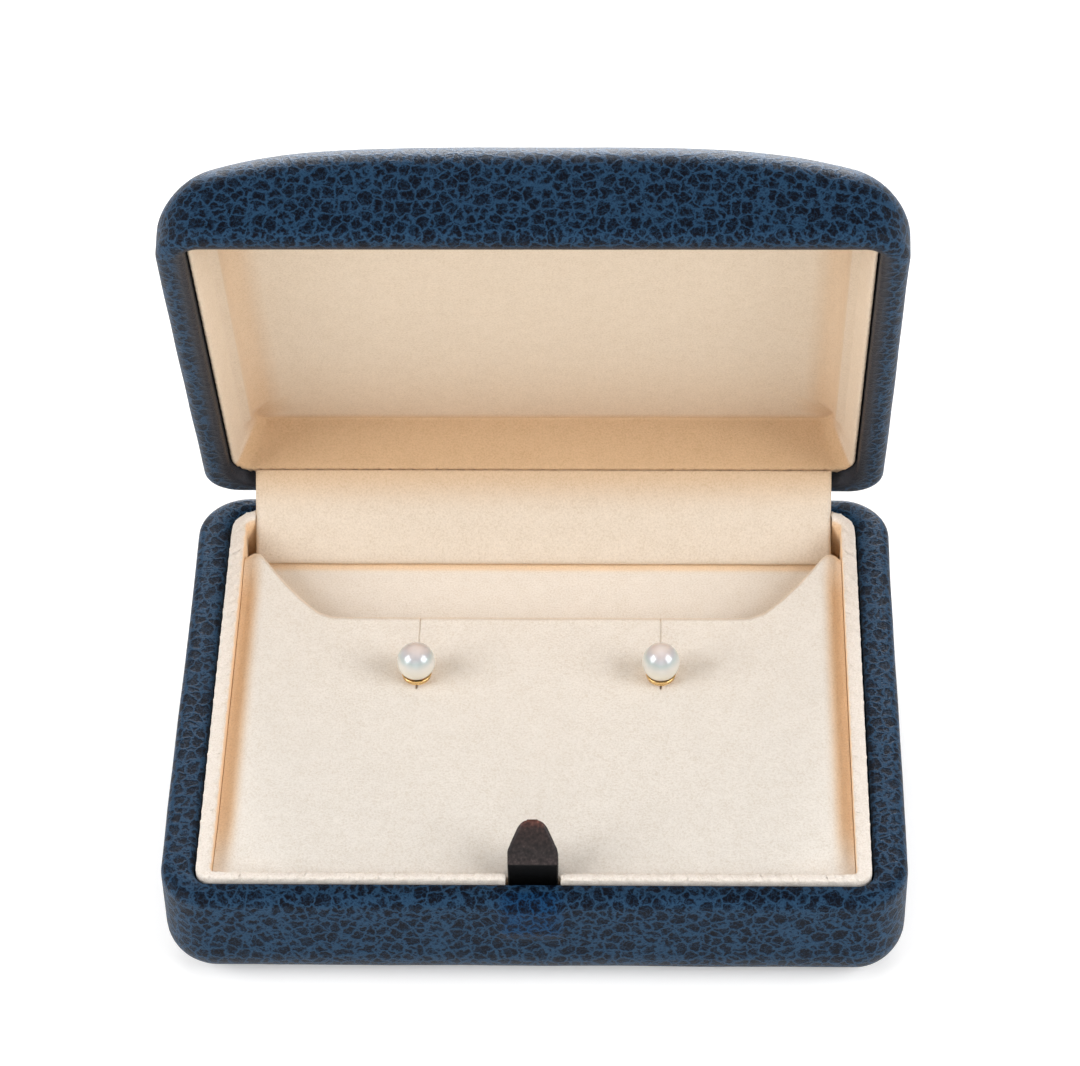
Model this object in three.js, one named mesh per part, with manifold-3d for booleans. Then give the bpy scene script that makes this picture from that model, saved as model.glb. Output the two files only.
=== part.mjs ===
// A pair of pearl stud earrings resting in their hinged jewellery box, which stands open.
// Millimetres, +Z up. The origin is the centre of the box's underside, X runs along the hinge
// and the front of the box faces -Y. The lid is drawn in its own frame: the origin on the hinge
// axis, +Z into the lid and the lid lying towards -Y, as it does when the box is shut.
import * as THREE from "three";
import { mergeVertices } from "three/addons/utils/BufferGeometryUtils.js";
import Module from "manifold-3d";

const wasm = await Module();
wasm.setup();

// The box
const BOX_WIDTH = 100;
const BOX_DEPTH = 78;
const BASE_FRONT_RADIUS = 7;
const BASE_BACK_RADIUS = 10;
const BASE_HEIGHT = 17.3;
const BASE_FOOT_RADIUS = 6.5;
const SIDE_WALL = 4.6;
const FRONT_WALL = 3.2;
const RIM_EDGE_RADIUS = 1.5;
const INNER_FRONT_RADIUS = 2.2;
const INNER_BACK_RADIUS = 4.6;
const FLOOR_THICKNESS = 2;
const CLEARANCE = 0.3;

// The lid
const HINGE_GAP = 0.56;
const OPENING_ANGLE = 68.5;
const LID_SIDE_STEP = 0.7;
const LID_FRONT_RADIUS = 7.5;
const LID_BACK_RADIUS = 5;
const LID_SIDE_WALL = 3.95;
const LID_HEIGHT = 16.2;
const LID_CROWN = 0.6;
const LID_SIDE_DROP = 6.2;
const LID_SHOULDER_POWER = 3.9;
const LID_TOP_RADIUS = 5;
const LID_WALL_HEIGHT = 6;
const LID_SPLAY = 2;

// The lid's suede lining
const LINING_RECESS = 1.8;
const LINING_THICKNESS = 0.8;
const LINING_EDGE = 0.45;
const LINING_DEPTH = 9.6;
const LINING_SIDE_SPLAY = 2.4;
const LINING_END_SPLAY = 0.6;
const LINING_BACK_WALL = 4.9;
const LINING_CORNER_RADIUS = 3;

// The tray: the collar round it, the block in it and the pad on the block
const COLLAR_PROUD = 0.6;
const COLLAR_SIDE_WIDTH = 2;
const COLLAR_FRONT_WIDTH = 1.2;
const COLLAR_INNER_RADIUS = 0.8;
const LEDGE_DROP = 6;
const PAD_THICKNESS = 5.1;
const PAD_SIDE_ROLL = 2.5;
const PAD_EDGE_ROLL = 0.5;
const PAD_ROLL_DROP = 2;
const PAD_BACK_MARGIN = 20.8;
const PAD_TIP_REACH = 12.3;
const PAD_TIP_WIDTH = 11.8;
const PAD_BEND_RADIUS = 9;

// The suede hinge strip
const STRIP_SIDE_MARGIN = 3.75;
const STRIP_THICKNESS = 0.8;
const STRIP_CREASE_MARGIN = 5.6;

// The catch and the push button under the leather
const CATCH_WIDTH = 6.7;
const CATCH_DEPTH = 3.2;
const CATCH_RIDGE = 2.9;
const CATCH_HEIGHT = 8.8;
const CATCH_LEAN = 2.5;
const CATCH_ROOT = 9;
const BUTTON_WIDTH = 8.4;
const BUTTON_DROP = 6.8;
const BUTTON_PROUD = 0.7;

// The earrings
const PEARL_DIAMETER = 5.5;
const EARRING_SPACING = 34.1;
const EARRING_Y = 2.75;
const CUP_RADIUS = 2;
const CUP_RIM = 0.7;
const CUP_FLOOR = 0.35;
const PEG_RADIUS = 0.35;
const PEG_LENGTH = 1.4;
const POST_RADIUS = 0.4;
const POST_LENGTH = 10;
const NUT_DIAMETER = 5;
const NUT_HEIGHT = 3;
const NUT_GROOVE = 0.5;
const JEWEL_GAP = 0.12;
const SLIT_WIDTH = 0.5;
const WELL_RADIUS = 3.3;
const WELL_DEPTH = 6;

// Places that follow from the sizes
const HALF_WIDTH = BOX_WIDTH / 2;
const HALF_DEPTH = BOX_DEPTH / 2;
const INNER_X = HALF_WIDTH - SIDE_WALL;
const INNER_Y = HALF_DEPTH - FRONT_WALL;
const BLOCK_TOP = BASE_HEIGHT - LEDGE_DROP;
const BLOCK_BOTTOM = FLOOR_THICKNESS + CLEARANCE;
const COLLAR_X = INNER_X - CLEARANCE;
const COLLAR_Y = INNER_Y - CLEARANCE;
const TRAY_X = COLLAR_X - COLLAR_SIDE_WIDTH - CLEARANCE;
const TRAY_FRONT = -(COLLAR_Y - COLLAR_FRONT_WIDTH - CLEARANCE);
const TRAY_BACK = COLLAR_Y - COLLAR_SIDE_WIDTH - CLEARANCE;
const LID_WIDTH = BOX_WIDTH - 2 * LID_SIDE_STEP;
const STRIP_WIDTH = 2 * (INNER_X - STRIP_SIDE_MARGIN);
const STRIP_CREASE = INNER_Y - STRIP_CREASE_MARGIN;
const PAD_BACK = INNER_Y - PAD_BACK_MARGIN;
const PAD_SHOULDER = TRAY_X - PAD_TIP_WIDTH;
const PAD_BOTTOM = BLOCK_TOP + CLEARANCE;
const PAD_TOP = PAD_BOTTOM + PAD_THICKNESS;
const LID_CAVITY_DEPTH = LINING_DEPTH + LINING_THICKNESS + CLEARANCE;
const HINGE_Y = HALF_DEPTH;
const HINGE_Z = BASE_HEIGHT + HINGE_GAP / 2;
const OPENING = THREE.MathUtils.degToRad(OPENING_ANGLE);
const CATCH_FRONT = -(INNER_Y - 2.5 * CLEARANCE);
const CATCH_NOTCH = CATCH_WIDTH / 2 + 2 * CLEARANCE;
const PEARL_RADIUS = PEARL_DIAMETER / 2;
const PEARL_Z = PAD_TOP + CUP_FLOOR + JEWEL_GAP + PEARL_RADIUS;

const CORNER_STEPS = 5;
const FULL_TURN = 2 * Math.PI;

// Stations along the long edges, as shares of the half length between the corner arcs.
const LONG_STATIONS = [-0.75, -0.4, -0.14, -0.1, -0.05, 0, 0.05, 0.1, 0.14, 0.4, 0.75];
const SHORT_STATIONS = [-0.6, -0.2, 0.2, 0.6];

const leather = new THREE.MeshStandardMaterial({ color: 0x1d3a5c, roughness: 0.55, metalness: 0 });
const suede = new THREE.MeshStandardMaterial({ color: 0xf0e2cd, roughness: 0.95, metalness: 0 });
const gold = new THREE.MeshStandardMaterial({ color: 0xe3b568, roughness: 0.25, metalness: 1 });
const nacre = new THREE.MeshStandardMaterial({ color: 0xeee6dd, roughness: 0.2, metalness: 0 });
const plastic = new THREE.MeshStandardMaterial({ color: 0x241c1a, roughness: 0.5, metalness: 0 });

// A rounded rectangle as points, anticlockwise seen from +Z, starting at its front left corner.
// inset draws it smaller by that much all round.
function outline({ halfX, front, back, frontRadius, backRadius }, inset = 0) {
  const corners = [
    { x: -halfX, y: front, sx: 1, sy: 1, radius: frontRadius, start: Math.PI },
    { x: halfX, y: front, sx: -1, sy: 1, radius: frontRadius, start: 1.5 * Math.PI },
    { x: halfX, y: back, sx: -1, sy: -1, radius: backRadius, start: 0 },
    { x: -halfX, y: back, sx: 1, sy: -1, radius: backRadius, start: 0.5 * Math.PI },
  ];
  const arcs = corners.map(({ x, y, sx, sy, radius, start }) => {
    const r = Math.max(radius - inset, 0.4);
    const centre = new THREE.Vector2(x + sx * (inset + r), y + sy * (inset + r));
    return Array.from({ length: CORNER_STEPS + 1 }, (_, i) => {
      const angle = start + (i / CORNER_STEPS) * (Math.PI / 2);
      return new THREE.Vector2(centre.x + r * Math.cos(angle), centre.y + r * Math.sin(angle));
    });
  });
  return arcs.flatMap((arc, i) => {
    const from = arc[CORNER_STEPS];
    const to = arcs[(i + 1) % 4][0];
    const stations = i % 2 === 0 ? LONG_STATIONS : SHORT_STATIONS;
    const between = stations.map((share) => from.clone().lerp(to, (share + 1) / 2));
    return [...arc, ...between];
  });
}

// Rings of equally many points, joined one to the next and closed by a cap at each end.
function loft(rings) {
  const count = rings[0].length;
  const positions = rings.flat().flatMap((p) => [p.x, p.y, p.z]);
  const index = [];
  for (let ring = 0; ring + 1 < rings.length; ring++) {
    for (let i = 0; i < count; i++) {
      const j = (i + 1) % count;
      const [a, b] = [ring * count + i, ring * count + j];
      index.push(a, b, b + count, a, b + count, a + count);
    }
  }
  const flat = (ring) => ring.map((p) => new THREE.Vector2(p.x, p.y));
  const last = (rings.length - 1) * count;
  for (const [a, b, c] of THREE.ShapeUtils.triangulateShape(flat(rings[0]), [])) index.push(c, b, a);
  for (const [a, b, c] of THREE.ShapeUtils.triangulateShape(flat(rings.at(-1)), [])) {
    index.push(last + a, last + b, last + c);
  }
  const geometry = new THREE.BufferGeometry();
  geometry.setAttribute("position", new THREE.Float32BufferAttribute(positions, 3));
  geometry.setIndex(index);
  return geometry;
}

const atHeight = (points, z) => points.map((p) => new THREE.Vector3(p.x, p.y, z));

// A flat outline given in (y, z), extruded along X between -half and half.
function extrudeAcross(points, half) {
  const shape = new THREE.Shape(points.map(([y, z]) => new THREE.Vector2(y, z)));
  const geometry = new THREE.ExtrudeGeometry(shape, { depth: 2 * half, bevelEnabled: false });
  const axes = new THREE.Matrix4().makeBasis(
    new THREE.Vector3(0, 1, 0),
    new THREE.Vector3(0, 0, 1),
    new THREE.Vector3(1, 0, 0),
  );
  return geometry.applyMatrix4(axes).translate(-half, 0, 0);
}

// A flat outline given as a Shape in plan, extruded from low to high.
function extrudeUp(shape, low, high) {
  const geometry = new THREE.ExtrudeGeometry(shape, { depth: high - low, bevelEnabled: false });
  return geometry.translate(0, 0, low);
}

// A profile of (radius, z) pairs from the axis back to the axis, turned about Z.
function turned(profile, sides) {
  const points = profile.map(([r, z]) => new THREE.Vector2(r, z));
  return new THREE.LatheGeometry(points, sides).rotateX(Math.PI / 2);
}

function toSolid(geometry) {
  const bare = geometry.index ? geometry.toNonIndexed() : geometry.clone();
  bare.deleteAttribute("normal");
  bare.deleteAttribute("uv");
  const merged = mergeVertices(bare, 1e-4);
  const vertProperties = new Float32Array(merged.attributes.position.array);
  const triVerts = new Uint32Array(merged.index.array);
  return new wasm.Manifold(new wasm.Mesh({ numProp: 3, vertProperties, triVerts }));
}

function fromSolid(solid) {
  const mesh = solid.getMesh();
  const geometry = new THREE.BufferGeometry();
  geometry.setAttribute("position", new THREE.Float32BufferAttribute(mesh.vertProperties, 3));
  geometry.setIndex([...mesh.triVerts]);
  return geometry;
}

function cut(geometry, tools) {
  return fromSolid(tools.reduce((solid, tool) => solid.subtract(toSolid(tool)), toSolid(geometry)));
}

function named(name, geometry, material) {
  const mesh = new THREE.Mesh(geometry, material);
  mesh.name = name;
  return mesh;
}

const smoothStep = (t) => {
  const s = Math.min(Math.max(t, 0), 1);
  return s * s * (3 - 2 * s);
};

// Plans shared by the pieces
const basePlan = {
  halfX: HALF_WIDTH,
  front: -HALF_DEPTH,
  back: HALF_DEPTH,
  frontRadius: BASE_FRONT_RADIUS,
  backRadius: BASE_BACK_RADIUS,
};
const innerPlan = {
  halfX: INNER_X,
  front: -INNER_Y,
  back: INNER_Y,
  frontRadius: INNER_FRONT_RADIUS,
  backRadius: INNER_BACK_RADIUS,
};
const lidPlan = {
  halfX: LID_WIDTH / 2,
  front: -BOX_DEPTH,
  back: 0,
  frontRadius: LID_FRONT_RADIUS,
  backRadius: LID_BACK_RADIUS,
};
const lidCavityPlan = {
  halfX: LID_WIDTH / 2 - LID_SIDE_WALL,
  front: -(BOX_DEPTH - FRONT_WALL),
  back: -FRONT_WALL,
  frontRadius: INNER_FRONT_RADIUS,
  backRadius: INNER_BACK_RADIUS,
};
const splayed = (plan) => ({ ...plan, halfX: plan.halfX - LID_SPLAY });

// How far the push button lifts the leather of the front wall at a point.
function buttonLift(x, z) {
  const across = smoothStep((BUTTON_WIDTH / 2 + 1 - Math.abs(x)) / 1.6);
  const below = smoothStep((z - (BASE_HEIGHT - BUTTON_DROP - 1)) / 1.6);
  const rim = smoothStep((BASE_HEIGHT - z) / RIM_EDGE_RADIUS);
  return BUTTON_PROUD * across * below * rim;
}

// The leather-covered base: a flat underside, rounded feet edges, upright walls with a soft rim.
function baseShell() {
  const foot = BASE_FOOT_RADIUS;
  const edge = RIM_EDGE_RADIUS;
  const footArc = [0, 0.25, 0.5, 0.75, 1].map((share) => {
    const angle = (share * Math.PI) / 2;
    return { inset: foot * (1 - Math.sin(angle)), z: foot * (1 - Math.cos(angle)) };
  });
  const buttonLevels = [BASE_HEIGHT - BUTTON_DROP - 1, BASE_HEIGHT - BUTTON_DROP, BASE_HEIGHT - BUTTON_DROP + 1];
  const walls = [...buttonLevels, BASE_HEIGHT - edge].map((z) => ({ inset: 0, z }));
  const rimArc = [0.5, 1].map((share) => {
    const angle = (share * Math.PI) / 2;
    return { inset: edge * (1 - Math.cos(angle)), z: BASE_HEIGHT - edge * (1 - Math.sin(angle)) };
  });
  const outer = [...footArc, ...walls, ...rimArc].map(({ inset, z }) =>
    atHeight(outline(basePlan, inset), z).map((p) => {
      const onFront = p.y < -HALF_DEPTH + inset + 0.01;
      return onFront ? new THREE.Vector3(p.x, p.y - buttonLift(p.x, z), z) : p;
    }),
  );
  const inner = [BASE_HEIGHT, FLOOR_THICKNESS].map((z) => atHeight(outline(innerPlan), z));
  return named("base_shell", loft([...outer, ...inner]), leather);
}

// The leather-covered lid: the same plan, an upright wall that rolls over into a crowned top,
// lower towards both sides than in the middle.
function lidShell() {
  const edge = RIM_EDGE_RADIUS;
  const fall = (x) => LID_SIDE_DROP * Math.abs((2 * x) / LID_WIDTH) ** LID_SHOULDER_POWER;
  const heightAt = (x) => LID_HEIGHT - LID_CROWN - fall(x);
  const rimArc = [1, 0.5, 0].map((share) => {
    const angle = (share * Math.PI) / 2;
    const inset = edge * (1 - Math.cos(angle));
    const z = edge * (1 - Math.sin(angle));
    return atHeight(outline(lidPlan, inset), z);
  });
  const topArc = [0, 0.2, 0.4, 0.6, 0.8, 1].map((share) => {
    const angle = (share * Math.PI) / 2;
    const inset = LID_TOP_RADIUS * (1 - Math.cos(angle));
    return outline(lidPlan, inset).map((p) => {
      const z = heightAt(p.x) - LID_TOP_RADIUS * (1 - Math.sin(angle));
      return new THREE.Vector3(p.x, p.y, z);
    });
  });
  const top = outline(lidPlan, LID_TOP_RADIUS);
  const crown = [0.75, 0.45, 0.15].map((size) =>
    top.map((p) => {
      const x = p.x * size;
      const y = -HALF_DEPTH + (p.y + HALF_DEPTH) * size;
      return new THREE.Vector3(x, y, heightAt(x) + LID_CROWN * (1 - size ** 2));
    }),
  );
  const inner = [
    atHeight(outline(splayed(lidCavityPlan)), LID_CAVITY_DEPTH),
    atHeight(outline(lidCavityPlan), LID_WALL_HEIGHT),
    atHeight(outline(lidCavityPlan), 0),
  ];
  return named("lid_shell", loft([...inner, ...rimArc, ...topArc, ...crown]), leather);
}

// The suede tray inside the lid: splayed walls and a flat ceiling, set back from the rim, with a
// notch in its front wall for the catch.
function lidLining() {
  const outerPlan = {
    halfX: lidCavityPlan.halfX - CLEARANCE,
    front: -(BOX_DEPTH - FRONT_WALL - CLEARANCE),
    back: -(FRONT_WALL + CLEARANCE),
    frontRadius: INNER_FRONT_RADIUS,
    backRadius: INNER_BACK_RADIUS,
  };
  const innerAt = (share) => ({
    halfX: outerPlan.halfX - LINING_EDGE - LINING_SIDE_SPLAY * share,
    front: outerPlan.front + LINING_THICKNESS + LINING_END_SPLAY * share,
    back: -(LINING_BACK_WALL + LINING_END_SPLAY * share),
    frontRadius: LINING_CORNER_RADIUS,
    backRadius: LINING_CORNER_RADIUS,
  });
  const height = LINING_DEPTH - LINING_RECESS;
  const cove = 1.6;
  const walls = [
    { share: 1, inset: cove, z: LINING_DEPTH },
    { share: 1, inset: 0.3 * cove, z: LINING_DEPTH - 0.3 * cove },
    { share: 1, inset: 0, z: LINING_DEPTH - cove },
    { share: 0.4, inset: 0, z: LINING_RECESS + 0.4 * height },
    { share: 0, inset: 0, z: LINING_RECESS },
  ].map(({ share, inset, z }) => atHeight(outline(innerAt(share), inset), z));
  const back = [
    atHeight(outline(outerPlan), LINING_RECESS),
    atHeight(outline(outerPlan), LID_WALL_HEIGHT - CLEARANCE),
    atHeight(outline(splayed(outerPlan)), LINING_DEPTH + LINING_THICKNESS),
  ];
  const notchDepth = 2 * (LINING_THICKNESS + LINING_END_SPLAY + CLEARANCE);
  const notch = new THREE.BoxGeometry(2 * CATCH_NOTCH, notchDepth, 2 * height)
    .translate(0, outerPlan.front, LINING_RECESS);
  return named("lid_lining", cut(loft([...walls, ...back]), [notch]), suede);
}

// One side of the collar: a suede-covered wall inside the leather, from the gap at the catch
// round the front corner, along the side and just round the back corner, up to the hinge strip.
function collar(side) {
  const outerFront = INNER_FRONT_RADIUS - CLEARANCE;
  const outerBack = INNER_BACK_RADIUS - CLEARANCE;
  const innerX = COLLAR_X - COLLAR_SIDE_WIDTH;
  const innerFront = -(COLLAR_Y - COLLAR_FRONT_WIDTH);
  const innerBack = COLLAR_Y - COLLAR_SIDE_WIDTH;
  const start = CATCH_NOTCH;
  const end = STRIP_WIDTH / 2 + 2 * CLEARANCE;
  const endRise = Math.sqrt(outerBack ** 2 - (end - COLLAR_X + outerBack) ** 2);
  const shape = new THREE.Shape();
  shape.moveTo(start, -COLLAR_Y);
  shape.lineTo(COLLAR_X - outerFront, -COLLAR_Y);
  shape.absarc(COLLAR_X - outerFront, -COLLAR_Y + outerFront, outerFront, 1.5 * Math.PI, FULL_TURN, false);
  shape.lineTo(COLLAR_X, COLLAR_Y - outerBack);
  const endAngle = Math.atan2(endRise, end - COLLAR_X + outerBack);
  shape.absarc(COLLAR_X - outerBack, COLLAR_Y - outerBack, outerBack, 0, endAngle, false);
  shape.lineTo(end, innerBack);
  shape.lineTo(innerX, innerBack - (innerX - end));
  shape.lineTo(innerX, innerFront + COLLAR_INNER_RADIUS);
  const inner = COLLAR_INNER_RADIUS;
  shape.absarc(innerX - inner, innerFront + inner, inner, 0, 1.5 * Math.PI, true);
  shape.lineTo(start, innerFront);
  const geometry = new THREE.ExtrudeGeometry(shape, {
    depth: BASE_HEIGHT + COLLAR_PROUD - BLOCK_BOTTOM,
    bevelEnabled: false,
    curveSegments: 6,
  }).translate(0, 0, BLOCK_BOTTOM);
  if (side > 0) return named("collar_right", geometry, suede);
  const mirrored = toSolid(geometry).mirror([1, 0, 0]);
  return named("collar_left", fromSolid(mirrored), suede);
}

// The suede-covered block that fills the base: its back part is the low ledge behind the pad,
// and a well under each earring takes the post and its nut.
function insertBlock() {
  const plan = {
    halfX: TRAY_X,
    front: TRAY_FRONT,
    back: TRAY_BACK,
    frontRadius: COLLAR_INNER_RADIUS,
    backRadius: COLLAR_INNER_RADIUS,
  };
  const body = loft([BLOCK_BOTTOM, BLOCK_TOP].map((z) => atHeight(outline(plan), z)));
  const wells = [-1, 1].map((side) =>
    new THREE.CylinderGeometry(WELL_RADIUS, WELL_RADIUS, 2 * WELL_DEPTH, 16)
      .rotateX(Math.PI / 2)
      .translate((side * EARRING_SPACING) / 2, EARRING_Y, BLOCK_TOP),
  );
  return named("insert_block", cut(body, [...wells, catchRecess(BLOCK_BOTTOM - 1)]), suede);
}

// The room that the pad and the block leave round the catch.
function catchRecess(low) {
  const depth = 2 * (CATCH_FRONT + CATCH_DEPTH + CLEARANCE - TRAY_FRONT);
  const height = BASE_HEIGHT + CATCH_HEIGHT - low;
  return new THREE.BoxGeometry(2 * CATCH_NOTCH, depth, height).translate(0, TRAY_FRONT, low + height / 2);
}

// The pad's edges in plan, anticlockwise: each row is a corner, how far the edge that leaves it
// rolls over, and how round the corner is. Its back edge runs in a shallow bay between two tips.
function padCorners() {
  const tip = PAD_BACK + PAD_TIP_REACH;
  const bayWidth = TRAY_X - PAD_SHOULDER;
  return [
    { x: -TRAY_X, y: TRAY_FRONT, roll: PAD_EDGE_ROLL, radius: 0 },
    { x: TRAY_X, y: TRAY_FRONT, roll: PAD_SIDE_ROLL, radius: 0 },
    { x: TRAY_X, y: tip, roll: PAD_EDGE_ROLL, radius: 0 },
    { x: TRAY_X - 0.27 * bayWidth, y: PAD_BACK + 0.68 * PAD_TIP_REACH, roll: PAD_EDGE_ROLL, radius: 0 },
    { x: PAD_SHOULDER, y: PAD_BACK, roll: PAD_EDGE_ROLL, radius: PAD_BEND_RADIUS },
    { x: -PAD_SHOULDER, y: PAD_BACK, roll: PAD_EDGE_ROLL, radius: PAD_BEND_RADIUS },
    { x: -TRAY_X + 0.27 * bayWidth, y: PAD_BACK + 0.68 * PAD_TIP_REACH, roll: PAD_EDGE_ROLL, radius: 0 },
    { x: -TRAY_X, y: tip, roll: PAD_SIDE_ROLL, radius: 0 },
  ];
}

// The pad's outline with each edge moved inwards by a share of its roll.
function padOutline(share) {
  const rows = padCorners();
  const count = rows.length;
  const edges = rows.map((row, i) => {
    const next = rows[(i + 1) % count];
    const direction = new THREE.Vector2(next.x - row.x, next.y - row.y).normalize();
    const inward = new THREE.Vector2(-direction.y, direction.x);
    return { point: new THREE.Vector2(row.x, row.y).addScaledVector(inward, share * row.roll), direction };
  });
  const corners = rows.map((row, i) => {
    const [before, after] = [edges[(i + count - 1) % count], edges[i]];
    const span = after.point.clone().sub(before.point);
    const along = span.cross(after.direction) / before.direction.cross(after.direction);
    return before.point.clone().addScaledVector(before.direction, along);
  });
  return corners.flatMap((corner, i) => {
    if (!rows[i].radius) return [corner];
    const [before, after] = [edges[(i + count - 1) % count].direction, edges[i].direction];
    const turn = Math.abs(Math.acos(before.dot(after)));
    const reach = rows[i].radius * Math.tan(turn / 2);
    const start = corner.clone().addScaledVector(before, -reach);
    const end = corner.clone().addScaledVector(after, reach);
    return new THREE.QuadraticBezierCurve(start, corner, end).getPoints(4);
  });
}

// The soft pad that the studs are pinned through: it rolls down along its sides, and a slit runs
// from its back edge to each post.
function pad() {
  const upright = PAD_TOP - PAD_ROLL_DROP;
  const rings = [
    { share: 0, z: PAD_BOTTOM },
    { share: 0, z: upright },
    { share: 0.12, z: upright + 0.45 * PAD_ROLL_DROP },
    { share: 0.4, z: upright + 0.8 * PAD_ROLL_DROP },
    { share: 1, z: PAD_TOP },
  ].map(({ share, z }) => atHeight(padOutline(share), z));
  const slitEnd = PAD_BACK + PAD_EDGE_ROLL;
  const slitStart = EARRING_Y - CUP_RADIUS;
  const cuts = [-1, 1].flatMap((side) => {
    const x = (side * EARRING_SPACING) / 2;
    const slit = new THREE.BoxGeometry(SLIT_WIDTH, slitEnd - slitStart, 4 * PAD_THICKNESS)
      .translate(x, (slitStart + slitEnd) / 2, PAD_TOP);
    const hole = new THREE.CylinderGeometry(POST_RADIUS + CLEARANCE, POST_RADIUS + CLEARANCE, 4 * PAD_THICKNESS, 12)
      .rotateX(Math.PI / 2)
      .translate(x, EARRING_Y, PAD_TOP);
    return [slit, hole];
  });
  return named("pad", cut(loft(rings), [...cuts, catchRecess(BLOCK_BOTTOM - 1)]), suede);
}

// The black tongue that the lid snaps over: an upright front, a ridge, and a top that leans back
// and narrows to a rounded tip. Each row is a level, the width there and the lean, as shares.
function catchTongue() {
  const ridge = BASE_HEIGHT + CATCH_RIDGE;
  const rise = CATCH_HEIGHT - CATCH_RIDGE;
  const levels = [
    { up: 0, width: 1, lean: 0 },
    { up: 0.28, width: 1, lean: 0.28 },
    { up: 0.58, width: 0.78, lean: 0.58 },
    { up: 0.86, width: 0.57, lean: 0.88 },
    { up: 0.95, width: 0.42, lean: 1 },
    { up: 1, width: 0.2, lean: 1.12 },
  ];
  const ringAt = (z, width, lean) => {
    const halfX = (width * CATCH_WIDTH) / 2;
    const chamfer = 0.15 * halfX;
    const [front, back] = [CATCH_FRONT + lean * CATCH_LEAN, CATCH_FRONT + CATCH_DEPTH];
    const corners = [
      [-halfX, front + chamfer],
      [-halfX + chamfer, front],
      [halfX - chamfer, front],
      [halfX, front + chamfer],
      [halfX, back],
      [-halfX, back],
    ];
    return corners.map(([x, y]) => new THREE.Vector3(x, y, z));
  };
  const rings = levels.map(({ up, width, lean }) => ringAt(ridge + up * rise, width, lean));
  return named("catch_tongue", loft([ringAt(BASE_HEIGHT - CATCH_ROOT, 1, 0), ...rings]), plastic);
}

// A place in the open lid, seen from the side: along runs from the hinge towards the lid's front
// edge and depth runs into the lid.
function inOpenLid(along, depth) {
  const y = HINGE_Y - Math.cos(OPENING) * along + Math.sin(OPENING) * depth;
  const z = HINGE_Z + Math.sin(OPENING) * along + Math.cos(OPENING) * depth;
  return [y, z];
}

// The suede strip that hides the hinge: it rises from its crease on the ledge, passes in front of
// the lid's rim and ends at the lining's edge.
function hingeStrip() {
  const half = STRIP_THICKNESS / 2;
  const middle = [
    [STRIP_CREASE, BLOCK_TOP + CLEARANCE + half],
    inOpenLid(FRONT_WALL + 2 * CLEARANCE, -0.5),
    inOpenLid(FRONT_WALL + 3.5 * CLEARANCE, LINING_RECESS - CLEARANCE - 0.1),
  ].map(([y, z]) => new THREE.Vector2(y, z));
  const sideOf = (i) => {
    const before = middle[Math.max(i - 1, 0)];
    const after = middle[Math.min(i + 1, middle.length - 1)];
    const direction = after.clone().sub(before).normalize();
    return new THREE.Vector2(direction.y, -direction.x).multiplyScalar(half);
  };
  const front = middle.map((p, i) => p.clone().sub(sideOf(i)));
  const back = middle.map((p, i) => p.clone().add(sideOf(i)));
  const points = [...back, ...front.reverse()].map((p) => [p.x, p.y]);
  return named("hinge_strip", extrudeAcross(points, STRIP_WIDTH / 2), suede);
}

// The gold that carries the pearl: a peg into it, a shallow cup under it and the post below, one
// soldered piece, drawn with the pad's surface at z 0.
function setting(name) {
  const pearlZ = PEARL_Z - PAD_TOP;
  const seat = PEARL_RADIUS + JEWEL_GAP;
  const seatAt = (r) => pearlZ - Math.sqrt(seat ** 2 - r ** 2);
  const bowl = [1, 0.75, 0.5, 0.25].map((share) => [CUP_RADIUS * share, seatAt(CUP_RADIUS * share)]);
  const rimTop = seatAt(CUP_RADIUS);
  const profile = [
    [0, -POST_LENGTH],
    [0.6 * POST_RADIUS, -POST_LENGTH],
    [POST_RADIUS, -POST_LENGTH + POST_RADIUS],
    [POST_RADIUS, JEWEL_GAP],
    [0.6 * CUP_RADIUS, JEWEL_GAP],
    [0.97 * CUP_RADIUS, Math.min(CUP_RIM, 0.6 * rimTop)],
    [CUP_RADIUS + 0.1, rimTop],
    ...bowl,
    [PEG_RADIUS, seatAt(PEG_RADIUS)],
    [PEG_RADIUS, seatAt(0) + PEG_LENGTH],
    [0, seatAt(0) + PEG_LENGTH],
  ];
  return named(name, turned(profile, 24), gold);
}

// The pearl, drilled from below for the peg.
function pearl(name) {
  const bore = PEG_RADIUS + JEWEL_GAP;
  const start = Math.asin(bore / PEARL_RADIUS);
  const steps = 18;
  const skin = Array.from({ length: steps + 1 }, (_, i) => {
    const angle = start + ((Math.PI - start) * i) / steps;
    const r = i === steps ? 0 : PEARL_RADIUS * Math.sin(angle);
    return [r, -PEARL_RADIUS * Math.cos(angle)];
  });
  const boreTop = -PEARL_RADIUS + PEG_LENGTH + JEWEL_GAP;
  return named(name, turned([[0, boreTop], [bore, boreTop], ...skin], 28), nacre);
}

// The friction nut on the post, under the pad.
function earNut(name) {
  const bore = POST_RADIUS + JEWEL_GAP;
  const radius = NUT_DIAMETER / 2;
  const waist = radius - NUT_GROOVE;
  const profile = [
    [bore, 0],
    [waist, 0],
    [radius, 0.2 * NUT_HEIGHT],
    [waist, 0.5 * NUT_HEIGHT],
    [radius, 0.8 * NUT_HEIGHT],
    [waist, NUT_HEIGHT],
    [bore, NUT_HEIGHT],
    [bore, 0],
  ];
  return named(name, turned(profile, 20), gold);
}

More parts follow.
